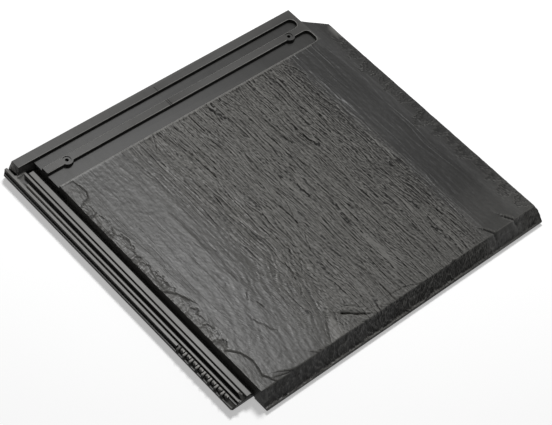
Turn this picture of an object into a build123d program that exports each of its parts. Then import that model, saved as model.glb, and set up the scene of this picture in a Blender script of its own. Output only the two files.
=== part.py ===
"""Flat interlocking clay roof tile with a slate-like face, pressed and fired as one piece.

Millimetres. X runs across the tile, from the side lock on the left to the cover flange on
the right. Y runs up the roof, from the tail to the head. Z points out of the roof. The origin
is the middle of the tile's footprint, level with the lowest underside ribs and nibs.
"""
import os
from math import radians, tan

from build123d import *

# Outline
tile_width = 520.0
tile_length = 462.0
face_height = 28.0

# Dressed slate edges of the tail and of the right side
tail_bevel_run = 15.0
tail_lip_height = 2.5
tail_lip_lift = 3.0
side_bevel_run = 7.0
side_bevel_shoulder = 4.0
side_bevel_shoulder_drop = 6.0
side_foot_run = 0.8
head_draft_run = 2.5
head_draft_drop = 14.0

# Side lock on the left, from the outer lip inwards to the slate wall
lock_setback = 24.5
lock_base = 5.0
lock_floor = 10.5
lock_rib_height = 16.5
lip_height = 11.5
lip_width = 2.7
lip_step = 0.8
lip_undercut = 4.0
outer_rib_width = 4.0
outer_groove_width = 3.5
outer_groove_floor = 12.0
thin_rib_width = 2.7
thin_rib_height = 15.5
deep_channel_width = 4.8
middle_rib_width = 3.3
slit_width = 2.2
slit_floor = 14.0
inner_rib_width = 7.0
inner_channel_width = 5.5
rib_draft = 0.3
rib_round = 0.5
lock_corner_chamfer = 4.0

# Where the lock ribs end
cross_wall_width = 3.2
cross_wall_slope = 5.0
thin_rib_head_gap = 19.0
inner_rib_head_gap = 6.8
middle_rib_tail_gap = 1.0
middle_rib_tail_slope = 9.0
thin_rib_tail_gap = 0.5

# Comb in the outer rib near the tail
comb_count = 8
comb_pitch = 11.3
comb_start_gap = 18.8
comb_bar_length = 3.0
comb_block_length = 5.0
comb_bar_width = 6.0
comb_block_width = 3.4

# Head lock: rim, first channel, nail rib, second channel
rim_width = 16.8
rim_overhang = 27.0
first_channel_width = 16.1
nail_rib_width = 12.3
second_channel_width = 22.6
channel_floor = 23.0
first_channel_draft = 8.0
second_channel_draft = 9.0
first_channel_end = 43.2
second_channel_end = 38.8
first_channel_radius = 7.5
second_channel_radius = 7.0
head_lock_round = 0.8
nail_spacing = 381.0
nail_centre_x = 0.8
nail_rib_shift = 1.15
nail_hole_radius = 2.5
nail_dish_radius = 5.6
nail_dish_depth = 1.0
nail_boss_radius = 9.0
mark_width = 1.2
mark_depth = 0.7
rim_mark_length = 9.0
rim_mark_x = -20.8
nail_rib_marks = (-22.8, -19.9)

# Cover flange on the right, with the corner cut back at the head
flange_clearance = 1.5
flange_hook_depth = 4.5
lock_clearance = 1.0
joint_clearance = 1.0
corner_cut_width = 28.0
corner_cut_length = 25.0
corner_setback = 29.0
head_side_setback = 35.6

# Underside
pan_height = 16.5
pan_rib_height = 11.0
pan_rib_width = 8.0
pan_columns = 3
pan_rows = 2
pan_radius = 9.0
pan_draft = 12.0
rail_width = 10.0
head_base = 13.5
head_zone_margin = 13.0
storm_rib_width = 9.0
storm_rib_draft = 8.0
storm_recess_height = 9.5
head_cover = 6.0
nib_spacing = 260.0
nib_width = 44.0
nib_length = 15.0
nib_inset = 11.0
nib_slope = 3.0
nib_round = 2.0

# Places that follow from the sizes
left = -tile_width / 2
right = tile_width / 2
tail = -tile_length / 2
head = tile_length / 2
outer_rib_x = left + lip_width + lip_step
outer_groove_x = outer_rib_x + outer_rib_width
thin_rib_x = outer_groove_x + outer_groove_width
deep_channel_x = thin_rib_x + thin_rib_width
middle_rib_x = deep_channel_x + deep_channel_width
slit_x = middle_rib_x + middle_rib_width
inner_rib_x = slit_x + slit_width
inner_channel_x = inner_rib_x + inner_rib_width
slate_x = inner_channel_x + inner_channel_width
lock_tail = tail + lock_setback
rim_y = head - rim_width
first_channel_y = rim_y - first_channel_width
nail_rib_y = first_channel_y - nail_rib_width
slate_head_y = nail_rib_y - second_channel_width
nail_y = nail_rib_y + nail_rib_width / 2 - nail_rib_shift
cover_pitch = right - slate_x + joint_clearance
flange_base = lock_rib_height + flange_clearance
flange_hook_base = flange_base - flange_hook_depth
rail_right = left + cover_pitch - 2 * lock_clearance
storm_shift = slate_head_y - head_cover - tail
storm_gap_left = right - first_channel_end - cover_pitch / 2 - joint_clearance
storm_gap_right = slate_x + cover_pitch / 2 + joint_clearance


def across(y):
    """Vertical plane across the tile at y: its normal points to the tail."""
    return Plane.XZ.offset(-y)


def along(x):
    """Vertical plane along the tile at x: its normal points to the right."""
    return Plane.YZ.offset(x)


def rectangle(x_low, x_high, y_low, y_high):
    """Rectangle between two corners of the current sketch."""
    with Locations(((x_low + x_high) / 2, (y_low + y_high) / 2)):
        Rectangle(x_high - x_low, y_high - y_low)


def bar(x_low, width, z_low, z_high, y_low, y_high):
    """Lock rib with drafted sides and rounded top edges, run along the tile."""
    with BuildSketch(across(y_low)) as section:
        with BuildLine():
            Polyline(
                (x_low - rib_draft, z_low),
                (x_low + width + rib_draft, z_low),
                (x_low + width, z_high),
                (x_low, z_high),
                close=True,
            )
        make_face()
        fillet(section.vertices().group_by(Axis.Y)[-1], rib_round)
    extrude(section.sketch, amount=-(y_high - y_low))


# Slab: the thick plate under the slate face, from the slate wall to the right rail, with the
# rim's drafted stub reaching over the side lock
with BuildPart() as slab:
    with BuildSketch(Plane.XY.offset(lock_base)):
        rectangle(slate_x, rail_right, tail, head)
    extrude(amount=face_height - lock_base)
    stub_foot = (channel_floor - lock_base) * tan(radians(first_channel_draft))
    with BuildSketch(Plane.XY.offset(lock_base)):
        rectangle(slate_x - rim_overhang, slate_x + rim_width, rim_y - stub_foot, head + rim_width)
    extrude(amount=face_height - lock_base, taper=first_channel_draft)

# Side lock: a low plate along the left side whose ribs and channels carry the neighbour's flange
with BuildPart() as side_lock:
    with BuildSketch(across(lock_tail)):
        with BuildLine():
            Polyline(
                (left + lip_undercut, lock_base),
                (slate_x, lock_base),
                (slate_x, lock_floor),
                (left, lock_floor),
                (left, lock_base + lip_undercut),
                close=True,
            )
        make_face()
    extrude(amount=-(head - lock_tail))
    bar(left + rib_draft, lip_width - rib_draft, lock_floor, lip_height, lock_tail, head)
    comb_top = lock_tail + comb_start_gap + (comb_count - 0.5) * comb_pitch
    bar(outer_rib_x, outer_rib_width, lock_floor, lock_rib_height, comb_top, head)
    bar(outer_groove_x, outer_groove_width, lock_floor, outer_groove_floor, lock_tail, rim_y)
    thin_rib_tail = lock_tail + thin_rib_tail_gap
    bar(thin_rib_x, thin_rib_width, lock_floor, thin_rib_height, thin_rib_tail, rim_y - thin_rib_head_gap)
    middle_rib_tail = lock_tail + middle_rib_tail_gap
    bar(middle_rib_x, middle_rib_width, lock_floor, lock_rib_height, middle_rib_tail, rim_y)
    bar(slit_x, slit_width, lock_floor, slit_floor, middle_rib_tail, rim_y - inner_rib_head_gap)
    bar(inner_rib_x, inner_rib_width, lock_floor, lock_rib_height, lock_tail, rim_y - inner_rib_head_gap)

    # The middle rib and the slit beside it run out in a slope near the tail
    with BuildSketch(along(middle_rib_x - rib_draft)):
        with BuildLine():
            Polyline(
                (middle_rib_tail, lock_floor),
                (middle_rib_tail + middle_rib_tail_slope, lock_rib_height),
                (middle_rib_tail, lock_rib_height),
                close=True,
            )
        make_face()
    extrude(amount=inner_rib_x - middle_rib_x, mode=Mode.SUBTRACT)

    # The cross wall at the rim, sloped down into the grooves
    with BuildSketch(along(outer_rib_x)):
        with BuildLine():
            Polyline(
                (rim_y, lock_floor),
                (rim_y, lock_rib_height),
                (rim_y - cross_wall_width, lock_rib_height),
                (rim_y - cross_wall_width - cross_wall_slope, lock_floor),
                close=True,
            )
        make_face()
    extrude(amount=slit_x - outer_rib_x)

    # The comb: bars across the outer rib with blocks between them
    for tooth in range(comb_count):
        bar_y = lock_tail + comb_start_gap + tooth * comb_pitch
        with BuildSketch(Plane.XY.offset(lock_floor)):
            rectangle(outer_groove_x - comb_bar_width, outer_groove_x, bar_y, bar_y + comb_bar_length)
            block_y = bar_y - (comb_pitch - comb_bar_length + comb_block_length) / 2
            rectangle(outer_groove_x - comb_block_width, outer_groove_x, block_y, block_y + comb_block_length)
        extrude(amount=lock_rib_height - lock_floor)

# Cover flange: reaches over the neighbour's side lock, with one hook that hangs into its deep
# channel and an outer edge that hangs into its inner channel
with BuildPart() as cover_flange:
    edge_hook_x = inner_channel_x + cover_pitch + lock_clearance
    edge_tip_x = right - side_foot_run
    with BuildSketch(across(tail)):
        with BuildLine():
            Polyline(
                (rail_right - rail_width, flange_base),
                (edge_hook_x - 2 * rib_draft, flange_base),
                (edge_hook_x, flange_hook_base),
                (edge_tip_x, flange_hook_base),
                (right - side_bevel_run + side_bevel_shoulder, face_height - side_bevel_shoulder_drop),
                (right - side_bevel_run, face_height),
                (rail_right - rail_width, face_height),
                close=True,
            )
        make_face()
    extrude(amount=-tile_length)
    hook_x = deep_channel_x + cover_pitch + lock_clearance
    hook_width = deep_channel_width - 2 * lock_clearance
    with BuildSketch(across(tail)) as hook:
        with BuildLine():
            Polyline(
                (hook_x, flange_hook_base),
                (hook_x + hook_width, flange_hook_base),
                (hook_x + hook_width + 2 * rib_draft, flange_base),
                (hook_x - 2 * rib_draft, flange_base),
                close=True,
            )
        make_face()
        fillet(hook.vertices().group_by(Axis.Y)[0], rib_round)
    extrude(amount=-tile_length)

# Tail foot: the full-depth tail edge, which stops short of the neighbour's side lock
with BuildPart() as tail_foot:
    foot_length = lock_setback - 2 * lock_clearance
    with BuildSketch(across(tail)):
        with BuildLine():
            Polyline(
                (slate_x, tail_lip_lift),
                (right, tail_lip_lift),
                (edge_tip_x, flange_hook_base),
                (right - side_bevel_run + side_bevel_shoulder, face_height - side_bevel_shoulder_drop),
                (right - side_bevel_run, face_height),
                (slate_x, face_height),
                close=True,
            )
        make_face()
    extrude(amount=-foot_length)

with BuildPart() as roof_tile:
    add(slab.part)
    add(side_lock.part)
    add(cover_flange.part)
    add(tail_foot.part)

    # Tail bevel and head draft, cut by the tile's long section
    with BuildSketch(along(left)):
        with BuildLine():
            Polyline(
                (tail, 0),
                (tail, tail_lip_lift + tail_lip_height),
                (tail + tail_bevel_run, face_height),
                (head - head_draft_run, face_height),
                (head, face_height - head_draft_drop),
                (head, 0),
                close=True,
            )
        make_face()
    extrude(amount=tile_width, mode=Mode.INTERSECT)

    # Head right corner, cut back so that four tiles can lap, and the lock's small head corner
    side_x = right - head_side_setback
    corner_y = head - corner_setback
    with BuildSketch():
        with BuildLine():
            Polyline(
                (side_x, head + 1),
                (side_x, corner_y),
                (side_x + corner_cut_width, corner_y - corner_cut_length),
                (right + 1, corner_y - corner_cut_length * (1 + right - side_x) / corner_cut_width),
                (right + 1, head + 1),
                close=True,
            )
        make_face()
        with BuildLine():
            Polyline(
                (left, head - lock_corner_chamfer),
                (left + lock_corner_chamfer, head),
                (left, head),
                close=True,
            )
        make_face()
    extrude(amount=face_height, mode=Mode.SUBTRACT)

    # Head lock channels, open to the side lock on the left and rounded at their right ends
    with BuildSketch(Plane.XY.offset(channel_floor)) as first_channel:
        rectangle(slate_x - 1, right - first_channel_end, first_channel_y, rim_y)
        fillet(first_channel.vertices().group_by(Axis.X)[-1], first_channel_radius)
    extrude(amount=face_height - channel_floor, taper=-first_channel_draft, mode=Mode.SUBTRACT)
    with BuildSketch(Plane.XY.offset(channel_floor)) as second_channel:
        rectangle(slate_x - 1, right - second_channel_end, slate_head_y, nail_rib_y)
        fillet(second_channel.vertices().group_by(Axis.X)[-1], second_channel_radius)
        with Locations((nail_centre_x, nail_y)):
            with GridLocations(nail_spacing, 0, 2, 1):
                Circle(nail_boss_radius, mode=Mode.SUBTRACT)
    extrude(amount=face_height - channel_floor, taper=-second_channel_draft, mode=Mode.SUBTRACT)

    # Head zone underside, the recess between the rails, and the pans between the stiffening ribs
    head_zone_y = slate_head_y - head_zone_margin
    pans_x = slate_x + rail_width
    pans_right = rail_right - rail_width
    pans_tail = first_channel_y - storm_shift + first_channel_width + pan_rib_width
    with BuildSketch():
        rectangle(pans_x, pans_right, head_zone_y, head + 1)
    extrude(amount=head_base, mode=Mode.SUBTRACT)
    with BuildSketch():
        rectangle(pans_x, pans_right, tail + tail_bevel_run / 2, head_zone_y)
    extrude(amount=storm_recess_height, mode=Mode.SUBTRACT)
    with BuildSketch():
        rectangle(pans_x, pans_right, pans_tail, head_zone_y)
    extrude(amount=pan_rib_height, mode=Mode.SUBTRACT)
    pan_width = (pans_right - pans_x - (pan_columns - 1) * pan_rib_width) / pan_columns
    pan_length = (head_zone_y - pans_tail - pan_rows * pan_rib_width) / pan_rows
    pans_middle = ((pans_x + pans_right) / 2, (pans_tail + head_zone_y) / 2)
    with BuildSketch(Plane.XY.offset(pan_height)):
        with Locations(pans_middle):
            with GridLocations(pan_width + pan_rib_width, pan_length + pan_rib_width, pan_columns, pan_rows):
                RectangleRounded(pan_width, pan_length, pan_radius)
    extrude(amount=-(pan_height - pan_rib_height), taper=-pan_draft, mode=Mode.SUBTRACT)

    # Storm ribs of the tail, which hang into the two head channels of the tile below. They are
    # left out over the joint between two tiles below, where those channels end.
    for channel_y, channel_width in (
        (first_channel_y, first_channel_width),
        (slate_head_y, second_channel_width),
    ):
        rib_low = channel_y + channel_width / 2 - storm_shift - storm_rib_width / 2
        with BuildSketch():
            rectangle(pans_x, storm_gap_left, rib_low, rib_low + storm_rib_width)
            rectangle(storm_gap_right, pans_right, rib_low, rib_low + storm_rib_width)
        extrude(amount=storm_recess_height, taper=-storm_rib_draft)

    # Batten nibs under the head, upright on the batten's side and sloped on the other
    for nib_x in (-nib_spacing / 2, nib_spacing / 2):
        with BuildSketch(along(nib_x)) as nib:
            with BuildLine():
                Polyline(
                    (head - nib_inset - nib_length, 0),
                    (head - nib_inset - nib_slope, 0),
                    (head - nib_inset, head_base),
                    (head - nib_inset - nib_length, head_base),
                    close=True,
                )
            make_face()
            fillet(nib.vertices().group_by(Axis.Y)[0], nib_round)
        extrude(amount=nib_width / 2, both=True)

    # Rounded edges of the rim, the nail rib and the slate face along the head channels
    head_edges = (
        roof_tile.edges()
        .filter_by(Axis.X)
        .filter_by_position(Axis.Z, face_height - mark_depth, face_height)
        .filter_by_position(Axis.Y, slate_head_y - second_channel_width, head)
    )
    fillet(head_edges, head_lock_round)

    # Nail holes with their dishes
    with Locations((nail_centre_x, nail_y, face_height)):
        with GridLocations(nail_spacing, 0, 2, 1):
            CounterBoreHole(nail_hole_radius, nail_dish_radius, nail_dish_depth)

    # Centre marks for half-bond laying, pressed into the rim and the nail rib
    with BuildSketch(Plane.XY.offset(face_height)):
        with Locations((rim_mark_x, rim_y + rim_mark_length / 2)):
            Rectangle(mark_width, rim_mark_length)
        for mark_x in nail_rib_marks:
            with Locations((mark_x, nail_rib_y + nail_rib_width / 2)):
                Rectangle(mark_width, nail_rib_width)
    extrude(amount=-mark_depth, mode=Mode.SUBTRACT)

roof_tile.part.label = "roof_tile"

os.makedirs("parts", exist_ok=True)
export_step(roof_tile.part, "parts/roof_tile.step")
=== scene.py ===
import math
import random

import bmesh
import bpy
import numpy as np
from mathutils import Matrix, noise


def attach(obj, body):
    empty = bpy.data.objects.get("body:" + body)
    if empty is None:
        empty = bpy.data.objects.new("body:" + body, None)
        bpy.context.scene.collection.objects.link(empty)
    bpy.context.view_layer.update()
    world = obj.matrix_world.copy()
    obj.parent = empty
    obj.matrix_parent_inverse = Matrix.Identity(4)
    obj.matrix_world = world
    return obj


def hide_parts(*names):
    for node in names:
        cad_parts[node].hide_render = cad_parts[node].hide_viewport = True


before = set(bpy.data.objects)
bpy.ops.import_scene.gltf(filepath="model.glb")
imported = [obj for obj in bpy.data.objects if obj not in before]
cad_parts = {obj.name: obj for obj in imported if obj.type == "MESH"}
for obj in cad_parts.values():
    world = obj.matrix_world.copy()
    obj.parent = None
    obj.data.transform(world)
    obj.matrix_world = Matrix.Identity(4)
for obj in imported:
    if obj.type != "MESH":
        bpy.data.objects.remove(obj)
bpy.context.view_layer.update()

# The roof tile is one slab of clay, pressed between two moulds, sprayed with slip and fired. The
# mould of its face was cast from split slate, so the face carries slate's grain and dressed edges.
# Its body is the frame's, merged into one skin. Places on the tile are in millimetres.
MM = 0.001
MERGE_GAP = 0.001 * MM
CUT_GAP = 0.0001 * MM

bpy.ops.object.select_all(action="DESELECT")
tile = bpy.data.objects.new("slate_face_tile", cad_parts["roof_tile"].data.copy())
bpy.context.scene.collection.objects.link(tile)
bpy.context.view_layer.objects.active = tile
tile.select_set(True)
tile.data.materials.clear()
bpy.ops.object.mode_set(mode="EDIT")
bpy.ops.mesh.select_mode(type="FACE")
bpy.ops.mesh.select_all(action="SELECT")
bpy.ops.mesh.remove_doubles(threshold=MERGE_GAP)

# Where the slate lies on the tile: its flat top below the head lock and beside it on the right,
# the bevels of the tail and of the right edge, and the upper part of the wall over the side lock.
FACE_Z = 28.0
SLATE_LEFT = -223.5
SLATE_HEAD = 161.72
HEAD_LOCK_END = 224.4
TAIL_EDGE = -216.0
TAIL_FOOT = -231.0
TAIL_FOOT_Z = 5.5
RIGHT_EDGE = 253.0
RIGHT_FOOT_Z = 13.5
WALL_LOW_Z = 22.6
NEAR = 0.1


def on_top_face(face):
    """Whether a face of the tile is part of its flat top."""
    return face.normal.z > 0.99 and face.calc_center_median().z > (FACE_Z - NEAR) * MM


def on_left_wall(face):
    """Whether a face is part of the wall between the slate and the side lock."""
    return face.normal.x < -0.95 and abs(face.calc_center_median().x / MM - SLATE_LEFT) < 2 * NEAR


def in_slate(face):
    """Whether a face belongs to the slate: its top, its bevels or its wall."""
    middle = face.calc_center_median() / MM
    normal = face.normal
    on_tail = normal.y < -0.5 and normal.z > 0.3 and middle.y < TAIL_EDGE
    on_right = normal.x > 0.5 and normal.z > 0.1 and middle.x > RIGHT_EDGE and middle.z > RIGHT_FOOT_Z
    on_top = on_top_face(face) and (middle.y < SLATE_HEAD or middle.x > HEAD_LOCK_END)
    return on_tail or on_right or on_top or on_left_wall(face)


def in_cells(face):
    """Whether a face of the slate is divided for the relief."""
    middle = face.calc_center_median() / MM
    if on_left_wall(face):
        return middle.z > WALL_LOW_Z and middle.y < SLATE_HEAD
    return in_slate(face)


def select_faces(test):
    """Selects the faces that pass the test, and nothing else."""
    body = bmesh.from_edit_mesh(tile.data)
    chosen = [test(face) for face in body.faces]
    for face in body.faces:
        face.select_set(False)
    for face, wanted in zip(body.faces, chosen):
        if wanted:
            face.select_set(True)
    body.select_flush_mode()
    bmesh.update_edit_mesh(tile.data)


def cut_faces(test, place, direction):
    """Cuts the faces that pass the test by a plane at a place along a direction."""
    select_faces(test)
    plane = [place * MM * part for part in direction]
    bpy.ops.mesh.bisect(plane_co=plane, plane_no=direction, threshold=CUT_GAP)


# The cells that take the relief. They are narrow at the dressed left edge and under the grain,
# and wide where the slate is smooth.
ACROSS, ALONG, UP = (1, 0, 0), (0, 1, 0), (0, 0, 1)
GRAIN_LEFT = -104.7
GRAIN_COLUMN = 8.1
GRAIN_COLUMNS = 34
LONG_ROWS_FROM = -184.0
LONG_ROW = 21.0
LONG_ROWS = 16
CELL_CUTS = 7

columns = [-215.5, -207.5, -199.5, -187.0, -174.0, -161.0, -148.0, -136.0, -124.5, -114.0]
columns += [GRAIN_LEFT + GRAIN_COLUMN * step for step in range(GRAIN_COLUMNS)]
columns += [172.5, 188.5, 206.0, HEAD_LOCK_END, 234.0, 243.5, RIGHT_EDGE]
rows = [-223.5, -208.0, -200.0, -192.0]
rows += [LONG_ROWS_FROM + LONG_ROW * step for step in range(LONG_ROWS)]
rows += [147.0, 176.5, 190.0]

cut_faces(on_top_face, SLATE_HEAD, ALONG)
cut_faces(on_top_face, HEAD_LOCK_END, ACROSS)
select_faces(in_slate)
bpy.ops.mesh.dissolve_limited(angle_limit=math.radians(0.4))
for column in columns:
    cut_faces(in_slate, column, ACROSS)
for row in rows:
    cut_faces(in_slate, row, ALONG)
cut_faces(on_left_wall, WALL_LOW_Z, UP)
select_faces(in_cells)
bpy.ops.mesh.subdivide(number_cuts=CELL_CUTS)

# Split slate's grain: thin layers whose broken edges run up the tile, thinner sheets between them,
# folds, lumps and pits. It is faint on the left, rough in the middle and gone in a smooth band on
# the right. On the lower left it leans towards the tail's left corner.
ROUGH_FROM, ROUGH_TO = -150.0, -55.0
BAND_FROM, BAND_TO = 152.0, 176.0
CALM_TAIL_FROM, CALM_TAIL_TO = -150.0, -205.0
BORDER_WANDER = 5.0
LEFT_BUSYNESS = 0.17
BAND_CALM = 0.94
TAIL_CALM = 0.3
LEAN = 0.38
LEAN_BELOW = -70.0
LEAN_FROM, LEAN_TO = -30.0, -80.0
LAYER_SPACING, LAYER_BREAK = 11.0, 0.11
SHEET_SPACING, SHEET_BREAK = 5.4, 0.22
UNEVENNESS = 1.1
SMALL_UNEVENNESS = 0.25
WIDE_WANDER, NARROW_WANDER = 7.0, 2.5
BROAD_HEIGHT = 0.8
FOLD_HEIGHT = 0.9
LAYER_HEIGHT = 2.0
SHEET_HEIGHT = 1.5
PIT_HEIGHT = 0.9
LUMP_HEIGHT = 0.12
MOST_HEIGHT = 2.5


def smooth(low, high, value):
    """Eased step from 0 below low to 1 above high, or down where high is the lower."""
    part = np.clip((value - low) / (high - low), 0.0, 1.0)
    return part * part * (3.0 - 2.0 * part)


def grain(x, y, width, length, seed):
    """Soft noise whose lumps are width across and length along the tile."""
    points = zip(x / width, y / length)
    return np.array([noise.noise((across, along, seed)) for across, along in points])


def busyness(x, y):
    """How rough the split face is, from 0 to 1."""
    x = x + BORDER_WANDER * grain(x, y, width=30.0, length=45.0, seed=33.0)
    busy = LEFT_BUSYNESS + (1.0 - LEFT_BUSYNESS) * smooth(ROUGH_FROM, ROUGH_TO, x)
    busy = busy * (1.0 - BAND_CALM * smooth(BAND_FROM, BAND_TO, x))
    return busy * (1.0 - TAIL_CALM * smooth(CALM_TAIL_FROM, CALM_TAIL_TO, y))


def shingles(level, edge):
    """Thin layers that overlap: each falls gently and ends in a sharp step up, of height 1."""
    part = level - np.floor(level)
    return np.where(part < 1.0 - edge, -part / (1.0 - edge), (part - 1.0) / edge)


def thin_layers(x, y, spacing, width, length, seed):
    """Level of the split face in layers, and 0 to 1 for how plainly the layers break there."""
    def level(place):
        wide = UNEVENNESS * grain(place, y, width, length, seed)
        small = SMALL_UNEVENNESS * grain(place, y, 0.45 * width, 0.2 * length, seed=4.4)
        return place / spacing + wide + small

    step = 0.4
    here = level(x)
    slope = np.abs(level(x + step) - here) / step
    return here, smooth(0.15, 0.55, slope * spacing)


def slate_grain(x, y):
    """Height of the split slate over its middle plane."""
    lean = LEAN * np.maximum(0.0, LEAN_BELOW - y) * smooth(LEAN_FROM, LEAN_TO, x)
    wander = WIDE_WANDER * grain(x, y, width=60.0, length=80.0, seed=3.1)
    wander = wander + NARROW_WANDER * grain(x, y, width=22.0, length=34.0, seed=9.4)
    across = x + lean + wander
    layers, layers_break = thin_layers(across, y, LAYER_SPACING, width=15.0, length=130.0, seed=3.3)
    sheets, sheets_break = thin_layers(across, y, SHEET_SPACING, width=7.0, length=60.0, seed=1.62)
    strong = smooth(-0.2, 0.3, grain(across, y, width=11.0, length=90.0, seed=16.3))
    lively = smooth(-0.2, 0.3, grain(across, y, width=9.0, length=40.0, seed=18.0))
    layers = shingles(layers, LAYER_BREAK) * (0.12 + 0.88 * strong) * layers_break
    sheets = shingles(sheets, SHEET_BREAK) * (0.1 + 0.9 * lively) * sheets_break
    split = BROAD_HEIGHT * grain(across, y, width=17.0, length=130.0, seed=2.6)
    split = split + FOLD_HEIGHT * grain(across, y, width=7.0, length=110.0, seed=6.6)
    split = split + LAYER_HEIGHT * layers + SHEET_HEIGHT * sheets
    split = split + PIT_HEIGHT * grain(x, y, width=2.6, length=3.6, seed=12.3)
    lumps = LUMP_HEIGHT * grain(x + 0.5 * y, y - 0.3 * x, width=4.5, length=7.0, seed=30.3)
    return busyness(x, y) * MOST_HEIGHT * np.tanh(split / MOST_HEIGHT) + lumps


# The single marks of the slate that the mould was cast from. A scallop is a line whose left side
# drops, or rises where its depth is negative, a crack is a groove, and a ridge stands up. Each row
# gives the line's points, its depth or height, and how far it fades out.
SCALLOPS = (
    (((-199, -214.5), (-203, -208), (-207.8, -200), (-205.4, -191), (-203, -177), (-208, -160.5),
      (-219.5, -147), (-224, -143)), 1.5, 30.0),
    (((-220, 121), (-207, 126), (-202, 136), (-203, 149), (-206, 163)), 1.2, 22.0),
    (((-207, -64), (-213, -50), (-224, -35)), 1.5, 9.0),
    (((-166, -216), (-178, -214.5), (-190, -212)), 1.5, 5.0),
    (((-113, -220), (-103, -203), (-93, -188), (-89, -184)), 1.5, 13.0),
    (((-43, -209), (-52, -203), (-62, -194), (-71, -187)), 1.6, 9.0),
    (((-6, -228), (-20, -213), (-28, -206), (-38, -204)), 0.6, 12.0),
    (((54, -230), (48, -219), (35, -211), (20, -206), (2, -205)), 1.0, 14.0),
    (((181, -224), (175, -212), (169, -203)), 1.6, 6.0),
    (((219, -223), (213, -213), (207, -203)), 1.6, 6.0),
    (((-75, -232), (-77, -217), (-84, -190)), -0.9, 10.0),
    (((-146, -233), (-156, -224), (-170, -217)), 2.4, 12.0),
    (((-112, -233), (-121, -226), (-128, -219)), 1.8, 9.0),
    (((-30, -233), (-41, -224), (-50, -218)), 1.8, 10.0),
    (((20, -233), (8, -225), (-4, -219)), 1.6, 10.0),
)
CRACKS = (
    (((-74, -92), (-76, -105), (-80, -120), (-83, -132), (-91, -141)), 1.3, 0.9),
    (((-53, -85), (-54, -98), (-60, -108), (-67, -117)), 1.0, 0.9),
    (((-57, -58), (-53, -73), (-52, -90)), 1.2, 0.9),
    (((-5, 12), (-7, -20), (-12, -35), (-18, -50), (-20, -60)), 1.3, 1.0),
    (((-20, -70), (-28, -82), (-34, -97)), 1.0, 1.0),
    (((-163, -134), (-161, -142), (-157, -147), (-156, -156), (-150, -163)), 0.6, 0.9),
    (((-143, -100), (-149, -108)), 0.8, 0.9),
    (((-142, -117), (-140, -128)), 0.9, 1.0),
    (((84, 62), (86, 40), (90, 20), (94, 0), (95, -20), (90, -48)), 0.8, 1.0),
    (((16, 161), (16, 142), (12, 124)), 1.5, 1.1),
    (((-15, 160), (-15, 132), (-16, 110), (-11, 80)), 1.1, 1.1),
    (((-55, 112), (-50, 85), (-54, 60)), 0.9, 1.0),
    (((147, 158), (158, 143), (162, 124)), 1.1, 1.0),
    (((145, 110), (144, 85), (147, 60), (149, 34)), 1.1, 1.0),
    (((104, 82), (106, 60), (111, 40)), 1.0, 1.0),
    (((50, 70), (54, 50), (52, 30), (56, 0)), 0.9, 1.0),
    (((137, -95), (141, -122), (144, -160), (149, -195)), 0.9, 1.0),
    (((-46, -207), (-54, -202), (-62, -195), (-69, -190)), 2.6, 1.2),
    (((-112, -219), (-103, -203), (-93, -188)), 1.1, 0.9),
    (((-203, -208), (-207.8, -200), (-205.4, -191), (-203, -177), (-208, -160.5), (-219.5, -147)),
     0.9, 0.8),
    (((-207, 126), (-202, 136), (-203, 149)), 0.9, 0.9),
    (((-222, -38), (-213, -50), (-207, -64)), 0.8, 0.9),
    (((170, -204), (175, -212), (179, -220)), 2.6, 1.3),
    (((208, -205), (213, -213), (217, -220)), 2.6, 1.3),
    (((-74, 160), (-86, 138)), 0.8, 1.0),
    (((2, 157), (0, 130), (4, 100)), 0.9, 1.1),
)
RIDGES = (
    (((-143, 52), (-142, 20), (-141, 0), (-143, -20), (-146, -44)), 0.8, 2.0),
    (((-147, -58), (-144, -70), (-143, -84)), 1.1, 2.2),
    (((-161, 62), (-160, 30), (-160, -18)), 0.5, 2.2),
    (((-222, 82), (-214, 72), (-209, 60), (-206, 44)), 0.7, 1.8),
    (((150, 160), (161, 141), (165, 118), (166, 60), (165, -30), (164, -90)), 0.6, 2.4),
    (((139, -92), (143, -120), (146, -160), (151, -192)), 0.6, 2.2),
    (((10, 60), (9, 20), (12, -30)), 0.7, 2.2),
    (((50, 110), (53, 80), (55, 45)), 0.7, 2.0),
    (((-52, 60), (-54, 20), (-52, -20)), 0.7, 2.0),
)


def line_distance(x, y, line):
    """Distance to a line of points, and whether a place is on the line's left side."""
    best = np.full(x.shape, 1e9)
    left = np.zeros(x.shape, dtype=bool)
    for (x0, y0), (x1, y1) in zip(line, line[1:]):
        run_x, run_y = x1 - x0, y1 - y0
        part = np.clip(((x - x0) * run_x + (y - y0) * run_y) / (run_x ** 2 + run_y ** 2), 0.0, 1.0)
        away = np.hypot(x - x0 - part * run_x, y - y0 - part * run_y)
        nearer = away < best
        best = np.where(nearer, away, best)
        left = np.where(nearer, run_x * (y - y0) - run_y * (x - x0) > 0, left)
    return best, left


def marks_depth(x, y):
    """Depth below the face of the scallops, cracks and ridges."""
    depth = np.zeros(x.shape)
    for line, drop, fade in SCALLOPS:
        away, left = line_distance(x, y, line)
        depth = depth + drop * np.exp(-away / fade) * smooth(0.0, 0.8, away) * left
    for line, deep, half_width in CRACKS:
        away = line_distance(x, y, line)[0]
        depth = depth + deep * np.exp(-(away / half_width) ** 2)
    for line, high, half_width in RIDGES:
        away = line_distance(x, y, line)[0]
        depth = depth - high * np.exp(-(away / half_width) ** 2)
    return depth


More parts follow.
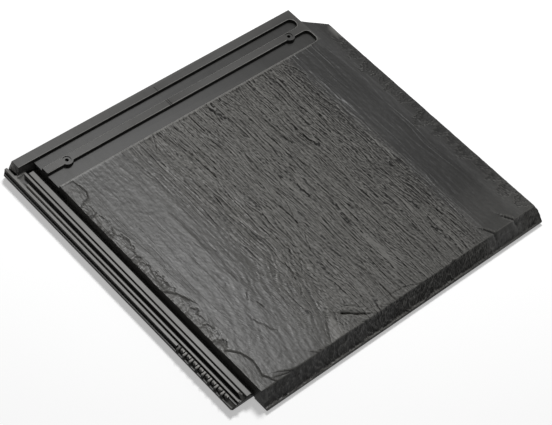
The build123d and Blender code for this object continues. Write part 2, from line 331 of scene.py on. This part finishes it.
# The dressed edges: a slater's hammer knocks shell-shaped flakes off a slate's edges. A flake is
# its middle across and along the tile, its reach across and along, and its depth. The large ones
# of the right edge are placed singly, and the others follow each other along their edge.
LEFT_FLAKES_X, LEFT_CHIPS_X = -226.0, -224.0
LEFT_FLAKES_FROM, LEFT_FLAKES_TO = -138.0, 118.0
LARGE_RIGHT_FLAKES_X, SMALL_RIGHT_FLAKES_X = 258.0, 256.0
SMALL_RIGHT_FLAKES_FROM, SMALL_RIGHT_FLAKES_TO = -222.0, 158.0
TAIL_FLAKES_FROM, TAIL_FLAKES_TO = -220.0, 256.0
LARGE_RIGHT_FLAKES = (
    (150, 20, 11, 1.3), (133, 18, 10, 1.2), (112, 21, 11, 1.4), (84, 27, 16, 1.9),
    (57, 24, 8, 1.5), (38, 25, 12, 1.8), (18, 24, 9, 1.6), (-1, 15, 8, 1.2),
    (-24, 33, 14, 2.1), (-52, 27, 9, 1.4), (-74, 20, 10, 1.3), (-98, 27, 14, 1.6),
    (-128, 18, 12, 1.1), (-150, 21, 10, 1.3), (-174, 29, 12, 1.5), (-200, 22, 11, 1.4),
)
FLAKE_DEEPENING = 1.45
FLAKE_RIPPLE = 0.10
RIGHT_SIDE = 240.0

hammer = random.Random(17)
flakes = []
blow_y = LEFT_FLAKES_FROM
while blow_y < LEFT_FLAKES_TO:
    reach = hammer.uniform(4.0, 15.0)
    inward = hammer.uniform(7.0, 12.0) + 0.5 * reach
    flakes.append((LEFT_FLAKES_X, blow_y, inward, reach, hammer.uniform(1.0, 2.2)))
    chip_y = blow_y + hammer.uniform(-6.0, 6.0)
    chip_reach = (hammer.uniform(3.0, 8.0), hammer.uniform(2.0, 5.0))
    flakes.append((LEFT_CHIPS_X, chip_y, *chip_reach, hammer.uniform(1.0, 2.0)))
    blow_y += reach * hammer.uniform(0.7, 1.4)
flakes += [(LARGE_RIGHT_FLAKES_X, *flake) for flake in LARGE_RIGHT_FLAKES]
blow_y = SMALL_RIGHT_FLAKES_FROM
while blow_y < SMALL_RIGHT_FLAKES_TO:
    reach = hammer.uniform(3.0, 7.0)
    flakes.append((SMALL_RIGHT_FLAKES_X, blow_y, hammer.uniform(5.0, 12.0), reach, hammer.uniform(0.9, 2.0)))
    blow_y += reach * hammer.uniform(0.8, 1.6)
blow_x = TAIL_FLAKES_FROM
while blow_x < TAIL_FLAKES_TO:
    reach = hammer.uniform(7.0, 24.0)
    chip_y = hammer.uniform(-231.0, -223.0)
    flakes.append((blow_x, chip_y, reach, hammer.uniform(5.0, 9.0), hammer.uniform(0.9, 3.0)))
    blow_x += reach * hammer.uniform(0.5, 1.1)


def flakes_depth(x, y):
    """Depth of the flakes knocked off the tile's edges."""
    depth = np.zeros(x.shape)
    ragged = 1.0 + 0.2 * grain(x, y, width=2.6, length=2.6, seed=21.0)
    ragged = ragged + 0.3 * grain(x, y, width=8.0, length=8.0, seed=23.0)
    for middle_x, middle_y, reach_x, reach_y, deep in flakes:
        near = (np.abs(x - middle_x) < 1.5 * reach_x) & (np.abs(y - middle_y) < 1.5 * reach_y)
        away = np.hypot((x[near] - middle_x) / reach_x, (y[near] - middle_y) / reach_y) * ragged[near]
        ripple = np.zeros(away.shape)
        fade = np.ones(away.shape)
        if middle_x > RIGHT_SIDE:
            ripple = FLAKE_RIPPLE * np.sin(14.0 * away) * smooth(1.0, 0.8, away)
            fade = 0.25 + 0.75 * smooth(RIGHT_EDGE + 1.0, 244.0, x[near])
        bowl = FLAKE_DEEPENING * deep * np.clip(1.22 - away + ripple, 0.0, 1.0) * smooth(1.06, 0.98, away)
        depth[near] = np.maximum(depth[near], bowl * fade)
    return depth


# Where the face needs it, the cells are divided once more: beside the cracks, in the large flakes
# of the right edge and along the chipped left edge.
CRACK_SIDE = 1.5
FINE_RIGHT_FROM, FINE_RIGHT_MIDDLE, FINE_RIGHT_REACH = 230.0, 38.0, 74.0
FINE_LEFT_TO, FINE_LEFT_MIDDLE, FINE_LEFT_REACH = -209.0, -11.0, 132.0

body = bmesh.from_edit_mesh(tile.data)
x, y, z = np.array([face.calc_center_median() for face in body.faces]).T / MM
crack_distances = [line_distance(x, y, line)[0] for line, deep, half_width in CRACKS]
beside_crack = np.min(crack_distances, axis=0) < CRACK_SIDE
right_flakes = (x > FINE_RIGHT_FROM) & (np.abs(y - FINE_RIGHT_MIDDLE) < FINE_RIGHT_REACH)
left_flakes = (x > SLATE_LEFT) & (x < FINE_LEFT_TO) & (np.abs(y - FINE_LEFT_MIDDLE) < FINE_LEFT_REACH)
finer = (beside_crack | right_flakes | left_flakes) & (z > FACE_Z - NEAR)
for face, chosen in zip(body.faces, finer):
    face.select_set(bool(chosen) and in_slate(face))
body.select_flush_mode()
bmesh.update_edit_mesh(tile.data)
bpy.ops.mesh.subdivide(number_cuts=1)
bpy.ops.object.mode_set(mode="OBJECT")

# The relief is pressed down into the body, so the slate never stands proud of the tile's outline.
# It fades out at the head lock and at the feet of the bevels.
TAIL_BEVEL_SLOPE = (FACE_Z - TAIL_FOOT_Z) / (TAIL_EDGE - TAIL_FOOT)
BAND_TROUGH = 0.35
TROUGH_LEFT, TROUGH_RIGHT = (140.0, 190.0), (246.0, 216.0)
TAIL_LUMPS = 3.0
FINER_LUMPS_FROM, FINER_LUMPS_TO = 40.0, 120.0
LEAST_DEPTH = 0.03

places = np.empty(len(tile.data.vertices) * 3)
tile.data.vertices.foreach_get("co", places)
places = places.reshape(-1, 3)
x, y, z = (places / MM).T
on_top = (z > FACE_Z - 0.02) & ((y < SLATE_HEAD - 0.3) | (x > HEAD_LOCK_END - NEAR))
on_tail = (np.abs(z - TAIL_FOOT_Z - (y - TAIL_FOOT) * TAIL_BEVEL_SLOPE) < NEAR) & (x > SLATE_LEFT - NEAR)
on_tail = on_tail & (y < TAIL_EDGE + NEAR)
on_right = (x > RIGHT_EDGE - NEAR) & (z > RIGHT_FOOT_Z + NEAR) & (y < 190.0)
on_wall = (np.abs(x - SLATE_LEFT) < 0.05) & (z > WALL_LOW_Z - NEAR) & (y < SLATE_HEAD)
slate = on_top | on_tail | on_right | on_wall
x, y, z = x[slate], y[slate], z[slate]

tail = smooth(TAIL_EDGE + 1.0, TAIL_EDGE - 3.0, y)
lumps = np.abs(grain(x, y, width=11.0, length=6.0, seed=41.0))
lumps = lumps + 0.5 * np.abs(grain(x, y, width=4.5, length=3.0, seed=43.0))
depth = 0.15 + 0.2 * busyness(x, y) - slate_grain(x, y) * (1.0 - 0.5 * tail)
depth = depth + BAND_TROUGH * smooth(*TROUGH_LEFT, x) * smooth(*TROUGH_RIGHT, x) + marks_depth(x, y)
depth = depth + TAIL_LUMPS * lumps * tail * (1.0 - 0.6 * smooth(FINER_LUMPS_FROM, FINER_LUMPS_TO, x))
depth = np.maximum(depth, LEAST_DEPTH) + flakes_depth(x, y)
head_fade = smooth(SLATE_HEAD - 0.2, SLATE_HEAD - 4.0, y) + smooth(HEAD_LOCK_END, HEAD_LOCK_END + 9.0, x)
right_fade = smooth(RIGHT_FOOT_Z, RIGHT_FOOT_Z + 7.0, z)
tail_fade = smooth(TAIL_FOOT_Z, TAIL_FOOT_Z + 6.0, z)
depth = depth * np.clip(head_fade, 0.0, 1.0) * np.where(y < TAIL_EDGE, tail_fade, right_fade)
wall = on_wall[slate] & (z < FACE_Z - 0.02)
places[slate, 2] = np.where(wall, np.minimum(z, FACE_Z - depth), z - depth) * MM
tile.data.vertices.foreach_set("co", places.reshape(-1))
tile.data.update()
bpy.ops.object.mode_set(mode="EDIT")
bpy.ops.mesh.select_all(action="SELECT")
bpy.ops.mesh.remove_doubles(threshold=10 * MERGE_GAP)
bpy.ops.object.mode_set(mode="OBJECT")

# The moulded flats of the locks and the nail dishes catch the light evenly up to their edges, and
# the slate's relief is rounded by wear of the mould, so only its sharp breaks show as edges.
SMOOTH_ANGLE = 38.0
LARGE_FLAT = 30.0 * MM ** 2
LEVEL = 0.9999

bpy.ops.object.shade_smooth_by_angle(angle=math.radians(SMOOTH_ANGLE))
for flat in tile.data.polygons:
    middle = flat.center / MM
    in_relief = middle.z > 22.0 and (middle.y < SLATE_HEAD or middle.x > HEAD_LOCK_END)
    level = abs(flat.normal.z) > LEVEL and middle.x > SLATE_LEFT - 8.0
    if flat.area > LARGE_FLAT or level and not in_relief:
        for corner in flat.loop_indices:
            tile.data.edges[tile.data.loops[corner].edge_index].use_edge_sharp = True
bpy.ops.object.modifier_add(type="WEIGHTED_NORMAL")
tile.modifiers[-1].keep_sharp = True
tile.modifiers[-1].weight = 100
bpy.ops.object.modifier_apply(modifier=tile.modifiers[-1].name)


def note_on_tile(domain, **notes):
    """Stores values of the tile's points or faces, for its finish to read."""
    for name, values in notes.items():
        note = tile.data.attributes.new(name, "FLOAT", domain)
        note.data.foreach_set("value", values.astype(np.float32))


# What is noted at each point: how rough the split is, painted shade in hollows and painted highlights on
# crests, and whether the slip fires to a soft sheen or dull. Hollows are points whose neighbours on the mesh
# stand higher.
FIRED_DULL = (
    (-160, 0.2), (-80, 0.6), (10, 1.3), (80, 1.8), (155, 1.8), (175, -0.15), (218, -0.15), (240, 1.6),
)
SHORT_EDGE, LONG_EDGE = 0.3, 4.0
DEEPEST_HOLLOW, HIGHEST_CREST = 0.45, -0.7

x, y, z = (np.array([point.co for point in tile.data.vertices]) / MM).T
on_slate = ((y < SLATE_HEAD - 0.3) | (x > HEAD_LOCK_END + NEAR)) & (x > SLATE_LEFT - NEAR)
on_slate = on_slate & (z > TAIL_FOOT_Z)
split = busyness(x, y) * on_slate
ends = np.empty(len(tile.data.edges) * 2, dtype=np.int64)
tile.data.edges.foreach_get("vertices", ends)
first, second = ends.reshape(-1, 2).T
run = np.hypot(x[first] - x[second], y[first] - y[second])
fair = (run > SHORT_EDGE) & (run < LONG_EDGE)
first, second, run = first[fair], second[fair], run[fair]
rise = (z[second] - z[first]) / run
total = np.zeros(len(x))
count = np.zeros(len(x))
np.add.at(total, first, rise)
np.add.at(total, second, -rise)
np.add.at(count, first, 1.0)
np.add.at(count, second, 1.0)
# Positive in hollows and negative on crests; the finish turns it into painted shade in hollows and painted
# highlights on crests.
hollow = np.clip(total / np.maximum(count, 1.0) * 2.0, HIGHEST_CREST, DEEPEST_HOLLOW) * (split > 0)
note_on_tile("POINT", roughness_of_split=split, hollow=hollow, dullness=np.interp(x, *zip(*FIRED_DULL)))

# The slip's tone, with painted light in it: painted sheen, lightest on the left and towards the tail, fading
# to the right and into the smooth band; painted highlights on the side lock's ribs; painted shade in the
# channels and on steep walls.
# None on the underside.
# Painted sheen across the tile: the tone is raised on the left and lowered towards the right and in the
# smooth band.
SHEEN_ACROSS_TILE = (
    (-222, 0.22), (-200, 0.0), (-175, -0.04), (-125, 0.12), (-75, 0.26), (-25, 0.24), (25, 0.12), (75, 0.06),
    (125, -0.08), (160, -0.38), (180, -0.24), (197, -0.22), (222, -0.22), (240, -0.25), (253, -0.25),
)
TONE_ON_BEVEL = ((-200, 0.1), (60, 0.2), (130, 0.6), (240, 0.9))
SMOOTH_SLIP, ROUGH_SLIP = 0.25, 0.55
BAND_LEFT, BAND_RIGHT = (150.0, 185.0), (244.0, 222.0)
SHEEN_TAIL_FROM, SHEEN_TAIL_TO = -120.0, -195.0
WEDGE_HEAD, WEDGE_LEFT, WEDGE_RIGHT = -186.0, -89.0, -83.0
WEDGE_LEAN = 0.72
WEDGE_SLIP = 0.7
HEAD_TOP_Z, HEAD_TOP_SLIP, HEAD_CHANNEL_SHADE = 26.0, 0.40, 0.17
SIDE_TOP_Z, SIDE_RIB_HIGHLIGHT, SIDE_CHANNEL_SHADE = 15.0, 0.95, 0.4
STEEP_WALL_SHADE = 0.08
# Strengths of the painted highlights on fillets, the edge strip, the side lock, its narrow rib and comb, and
# the chips.
PALE_FILLET, PALE_STRIP, PALE_SIDE_LOCK, PALE_RIB, PALE_CHIPS = 0.7, 0.17, 0.19, 0.9, 0.09
STRIP_TAIL, STRIP_RIGHT = 159.88, 218.0
RIB_TOP_Z = 14.0
NARROW_RIB_X, NARROW_RIB_REACH = -250.5, 2.2
COMB_RIGHT, COMB_TAIL, COMB_HEAD, COMB_TOP_Z = -252.4, -200.0, -109.0, 16.0
CHIPS_RIGHT, CHIPS_TAIL, CHIPS_HEAD, CHIPS_LOW_Z = -213.0, -150.0, 100.0, 24.0


def in_head_lock(x, y):
    """Whether a place is on the rim, channels or nail rib of the head lock."""
    return (y > SLATE_HEAD) & (x < HEAD_LOCK_END)


def in_side_lock(x):
    """Whether a place is on the ribs or channels of the side lock."""
    return x < SLATE_LEFT - 0.2


def tone_and_painted_light(x, y, z, up):
    """The slip's tone on a face, from 0 to about 1, with painted sheen, highlights and shade in it."""
    # The tone rises with the split's roughness and drops in the smooth band; the curve across the tile adds
    # painted sheen.
    band = smooth(*BAND_LEFT, x) * smooth(*BAND_RIGHT, x)
    slip = SMOOTH_SLIP + ROUGH_SLIP * busyness(x, y) - 0.1 * band + np.interp(x, *zip(*SHEEN_ACROSS_TILE))
    # Painted sheen: lighter towards the tail, most on the right.
    tail_sheen = smooth(SHEEN_TAIL_FROM, SHEEN_TAIL_TO, y)
    slip = slip + tail_sheen * (0.12 + 0.25 * smooth(60.0, 140.0, x))
    wedge = smooth(0.0, 1.5, x - WEDGE_LEFT + WEDGE_LEAN * (WEDGE_HEAD - y))
    wedge = wedge * smooth(WEDGE_HEAD + 2.0, WEDGE_HEAD - 2.0, y) * smooth(0.0, 1.5, WEDGE_RIGHT - x)
    slip = slip + WEDGE_SLIP * wedge
    # Painted shade: the head lock's channels are darker than its tops, and the lock darkens to the right as
    # the painted sheen fades.
    head_slip = np.where(z > HEAD_TOP_Z, HEAD_TOP_SLIP, HEAD_CHANNEL_SHADE)
    slip = np.where(in_head_lock(x, y), head_slip - 0.12 * smooth(-220.0, 220.0, x), slip)
    # Painted highlights on the side lock's ribs and painted shade in its channels.
    side_slip = np.where(z > SIDE_TOP_Z, SIDE_RIB_HIGHLIGHT, SIDE_CHANNEL_SHADE)
    slip = np.where(in_side_lock(x), side_slip, slip)
    # Painted shade on the locks' steep walls.
    steep = (np.abs(up) < 0.5) & (in_head_lock(x, y) | in_side_lock(x))
    slip = np.where(steep, STEEP_WALL_SHADE, slip)
    # On the tail's bevel the tone is darker to the left and lighter to the right.
    return np.where((y < TAIL_EDGE) & (up < 0.8), np.interp(x, *zip(*TONE_ON_BEVEL)), slip)


def painted_highlights(x, y, z, up):
    """Painted highlights on the head lock's fillets and edge strip, the side lock's ribs and teeth, and the
    left chips.
    """
    on_fillet = (up > 0.2) & (up < 0.97) & in_head_lock(x, y)
    in_strip = (up > 0.9) & (y > STRIP_TAIL) & (y < SLATE_HEAD) & (x < STRIP_RIGHT)
    on_side_lock = in_side_lock(x) & (z > RIB_TOP_Z)
    on_narrow_rib = on_side_lock & (np.abs(x - NARROW_RIB_X) < NARROW_RIB_REACH)
    on_comb = (up > 0.9) & (z > COMB_TOP_Z) & (x < COMB_RIGHT) & (y < COMB_HEAD) & (y > COMB_TAIL)
    in_chips = (x > SLATE_LEFT) & (x < CHIPS_RIGHT) & (y < CHIPS_HEAD) & (y > CHIPS_TAIL)
    pale = np.where(on_fillet, PALE_FILLET, 0.0)
    pale = np.where(in_strip, PALE_STRIP, pale)
    pale = np.where(on_side_lock, PALE_SIDE_LOCK, pale)
    pale = np.where(on_narrow_rib | on_comb, PALE_RIB, pale)
    return np.where(in_chips & (z > CHIPS_LOW_Z), PALE_CHIPS, pale)


middles = np.empty(len(tile.data.polygons) * 3)
normals = np.empty(len(tile.data.polygons) * 3)
tile.data.polygons.foreach_get("center", middles)
tile.data.polygons.foreach_get("normal", normals)
x, y, z = (middles.reshape(-1, 3) / MM).T
up = normals.reshape(-1, 3)[:, 2]
note_on_tile(
    "FACE",
    thickness_of_slip=tone_and_painted_light(x, y, z, up),
    pale_slip=painted_highlights(x, y, z, up),
    bare_clay=smooth(-0.1, -0.4, up),
)


class Finish:
    """A socket of a material's nodes that takes part in Python sums."""

    def __init__(self, tree, socket=None):
        self.tree = tree
        self.socket = socket

    def node(self, kind, settings=None, output=0, **values):
        """A new node; its sockets are given by name, or by number after an underscore."""
        made = self.tree.nodes.new("ShaderNode" + kind)
        for name, value in (settings or {}).items():
            setattr(made, name, value)
        for name, value in values.items():
            key = int(name[1:]) if name[0] == "_" else name.replace("_", " ")
            if isinstance(value, Finish):
                self.tree.links.new(value.socket, made.inputs[key])
            else:
                made.inputs[key].default_value = value
        return Finish(self.tree, made.outputs[output])

    def math(self, operation, first, second):
        """A Math node of two values."""
        return self.node("Math", {"operation": operation}, _0=first, _1=second)

    def __add__(self, other):
        return self.math("ADD", self, other)

    def __sub__(self, other):
        return self.math("SUBTRACT", self, other)

    def __rsub__(self, other):
        return self.math("SUBTRACT", other, self)

    def __mul__(self, other):
        return self.math("MULTIPLY", self, other)

    __radd__ = __add__
    __rmul__ = __mul__

    def larger(self, other):
        """The larger of two values."""
        return self.math("MAXIMUM", self, other)

    def fraction(self):
        """What is over the whole number."""
        return self.node("Math", {"operation": "FRACT"}, _0=self)

    def clamp(self):
        """The value kept within 0 to 1."""
        return self.node("Clamp", _0=self)

    def blend(self, low, high):
        """Colour between two, with this value as the factor."""
        return self.node("Mix", {"data_type": "RGBA"}, output=2, _0=self, _6=low, _7=high)

    def noise(self, place, scale, detail, roughness=0.5):
        """Noise of a number of lumps to a metre."""
        return self.node("TexNoise", Vector=place, Scale=scale, Detail=detail, Roughness=roughness)

    def stretched(self, place, along):
        """A place whose patterns are drawn out along the tile."""
        return self.node("Mapping", Vector=place, Scale=(1.0, along, 1.0))

    def noted(self, name):
        """A value that was stored on the tile."""
        return self.node("Attribute", {"attribute_name": name}, output=2)


# The finish: a matt engobe, a thin slip of fine clay and pigment, in dark to light slate grey. Painted shade
# makes it nearly black in hollows and at the layers' broken edges, painted highlights lighten crests, ribs
# and edges, and under the tile the brown clay is bare. Numbers of layers are to a metre.
DARK_GREY_AND_SHADE = (0.012, 0.0118, 0.011, 1.0)
LIGHT_GREY_AND_SHEEN = (0.150, 0.147, 0.138, 1.0)
HIGHLIGHT_GREY = (0.400, 0.392, 0.374, 1.0)
DARK_CLAY = (0.100, 0.068, 0.052, 1.0)
LIGHT_CLAY = (0.150, 0.106, 0.080, 1.0)
LAYERS, LAYER_WANDER, LAYER_START = 120.0, 4.2, 0.4
SHEETS, SHEET_WANDER = 240.0, 4.6
LAYER_EDGE = 0.15
SHEET_EDGE = 0.2


def layer_profile(level, edge):
    """Height of a thin layer: it falls gently, and its broken edge steps up."""
    fall = 1.0 - level * (1.0 / (1.0 - edge))
    step = (level - (1.0 - edge)) * (1.0 / edge)
    return fall.larger(step)


engobe = bpy.data.materials.new("engobed_clay")
engobe.use_nodes = True
nodes = Finish(engobe.node_tree)
surface = engobe.node_tree.nodes["Principled BSDF"]
place = nodes.node("TexCoord", output=3)
across = nodes.node("SeparateXYZ", Vector=place)
split = nodes.noted("roughness_of_split")
hollow = nodes.noted("hollow")
bare = nodes.noted("bare_clay")

streaks = nodes.stretched(place, along=0.22)
long_grain = nodes.stretched(place, along=0.12)
clouds = nodes.noise(place, scale=9.0, detail=3.0) - 0.5
mottle = nodes.noise(streaks, scale=150.0, detail=4.0, roughness=0.62) - 0.5
speck = nodes.noise(place, scale=900.0, detail=2.0) - 0.5
pits = nodes.noise(nodes.stretched(place, along=0.75), scale=270.0, detail=1.0, roughness=0.45) - 0.5
fissures = nodes.node(
    "TexNoise",
    {"noise_type": "RIDGED_MULTIFRACTAL"},
    Vector=nodes.stretched(place, along=0.16),
    Scale=120.0,
    Detail=2.0,
    Roughness=0.6,
)
layer_wander = nodes.noise(long_grain, scale=55.0, detail=2.0)
sheet_wander = nodes.noise(long_grain, scale=110.0, detail=2.0)
lively = ((nodes.noise(streaks, scale=38.0, detail=1.0) - 0.38) * 4.0).clamp()
broken = ((pits + 0.10) * 5.0).clamp()

layer = (across * LAYERS + layer_wander * LAYER_WANDER + LAYER_START).fraction()
sheet = (across * SHEETS + sheet_wander * SHEET_WANDER).fraction()
plain_layers = 0.15 + lively * 0.85
# Masks of the layers' broken edges and of their crests: painted shade along the edges, painted highlights on
# the crests.
layer_edges = ((layer - 0.74) * 9.0).clamp() * plain_layers * broken
sheet_edges = ((sheet - 0.68) * 6.0).clamp() * (0.7 - lively * 0.6)
edges = (layer_edges + sheet_edges * 0.5) * split
layer_crests = ((0.14 - layer) * 9.0).clamp() * lively
sheet_crests = ((0.2 - sheet) * 6.0).clamp()
crests = (layer_crests + sheet_crests * 0.5) * split

tone = nodes.noted("thickness_of_slip") + clouds * 0.3 + mottle * 0.85 * split + speck * 0.15
# Painted shade darkens hollows and the layers' broken edges; painted highlights lighten the crests.
tone = tone - hollow * 1.8 - edges * 1.7 + crests * 2.0
slate_grey = (tone * 0.64).clamp().blend(DARK_GREY_AND_SHADE, LIGHT_GREY_AND_SHEEN)
# Painted highlights on the locks' fillets and edge strip, the side lock's ribs, the comb of teeth and the
# left chips.
slate_grey = nodes.noted("pale_slip").blend(slate_grey, HIGHLIGHT_GREY)
clay = (0.5 + clouds * 1.6 + speck * 0.6).clamp().blend(DARK_CLAY, LIGHT_CLAY)
matt = 0.33 + nodes.noted("dullness") * 0.2 + mottle * 0.12 + clouds * 0.08
matt = matt + hollow * 0.3 + edges * 0.2 + bare * 0.35
layer_steps = layer_profile(layer, LAYER_EDGE) * plain_layers
sheet_steps = layer_profile(sheet, SHEET_EDGE) * (0.45 - lively * 0.3)
height = (pits * 1.3 - fissures * 0.12 + layer_steps * 1.1 + sheet_steps) * split + speck * 0.04
relief = nodes.node("Bump", Height=height, Strength=1.0, Distance=0.001)

for socket, value in (("Base Color", bare.blend(slate_grey, clay)), ("Roughness", matt), ("Normal", relief)):
    engobe.node_tree.links.new(value.socket, surface.inputs[socket])
surface.inputs["Specular IOR Level"].default_value = 0.20
tile.data.materials.append(engobe)
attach(tile, "root")
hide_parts("roof_tile")

# The floor is a wide sheet of pale paper under the tile. To the camera and in reflections it is
# nearly white, with the tile's shadow on it, and it throws only a little light up at the tile.
WHITE = (1.0, 1.0, 1.0, 1.0)
PAPER = (0.80, 0.80, 0.80, 1.0)
DIM_PAPER = (0.20, 0.20, 0.20, 1.0)
PAPER_GLOW = 0.42
CAMERA_RAY, GLOSSY_RAY, TRANSMISSION_RAY = 0, 3, 6


def when_seen(nodes, hidden, seen):
    """One shader for the camera and for glossy and see-through rays, and another for the rest."""
    camera, glossy, through = (
        nodes.node("LightPath", output=ray) for ray in (CAMERA_RAY, GLOSSY_RAY, TRANSMISSION_RAY)
    )
    return nodes.node("MixShader", _0=(camera + glossy + through).clamp(), _1=hidden, _2=seen)


bpy.ops.object.select_all(action="DESELECT")
bpy.ops.mesh.primitive_plane_add(size=30)
floor = bpy.context.object
floor.name = "floor"
paper = bpy.data.materials.new("floor_paper")
paper.use_nodes = True
paper.node_tree.nodes.remove(paper.node_tree.nodes["Principled BSDF"])
nodes = Finish(paper.node_tree)
lit_paper = nodes.node("BsdfDiffuse", Color=PAPER)
glow = nodes.node("Emission", Color=WHITE, Strength=PAPER_GLOW)
seen_paper = nodes.node("AddShader", _0=lit_paper, _1=glow)
sheet_of_paper = when_seen(nodes, nodes.node("BsdfDiffuse", Color=DIM_PAPER), seen_paper)
paper.node_tree.links.new(sheet_of_paper.socket, paper.node_tree.nodes["Material Output"].inputs["Surface"])
floor.data.materials.append(paper)

# The studio is a dim room with one large soft lamp behind the tile's head, aimed at the tile's
# middle. Its walls look white to the camera.
ROOM_LIGHT = 0.09
LAMP_PLACE = (0.66, 0.84, 2.0)
LAMP_WATTS = 42
LAMP_SIZE = 0.6

studio = bpy.data.worlds.new("studio")
bpy.context.scene.world = studio
studio.use_nodes = True
nodes = Finish(studio.node_tree)
room = nodes.node("Background", Color=WHITE, Strength=ROOM_LIGHT)
walls = when_seen(nodes, room, nodes.node("Background", Color=WHITE, Strength=1.0))
studio.node_tree.links.new(walls.socket, studio.node_tree.nodes["World Output"].inputs["Surface"])
bpy.ops.object.light_add(type="AREA", location=LAMP_PLACE)
lamp = bpy.context.object
lamp.data.energy = LAMP_WATTS
lamp.data.size = LAMP_SIZE
lamp.rotation_euler = (-lamp.location).to_track_quat("-Z", "Y").to_euler()

# The camera stands high off the tile's lower left corner and looks down on its face through a
# long lens, so the tile's sides stay nearly parallel.
CAMERA_PLACE = (-1.2248, -0.9624, 1.8411)
CAMERA_TURN = (39.21, -8.12, -42.14)
SENSOR_WIDTH = 36
LENS = 123.2

bpy.ops.object.camera_add(location=CAMERA_PLACE, rotation=[math.radians(turn) for turn in CAMERA_TURN])
camera = bpy.context.object
camera.data.sensor_width = SENSOR_WIDTH
camera.data.lens = LENS
bpy.context.scene.camera = camera
bpy.context.scene.view_settings.view_transform = "Standard"
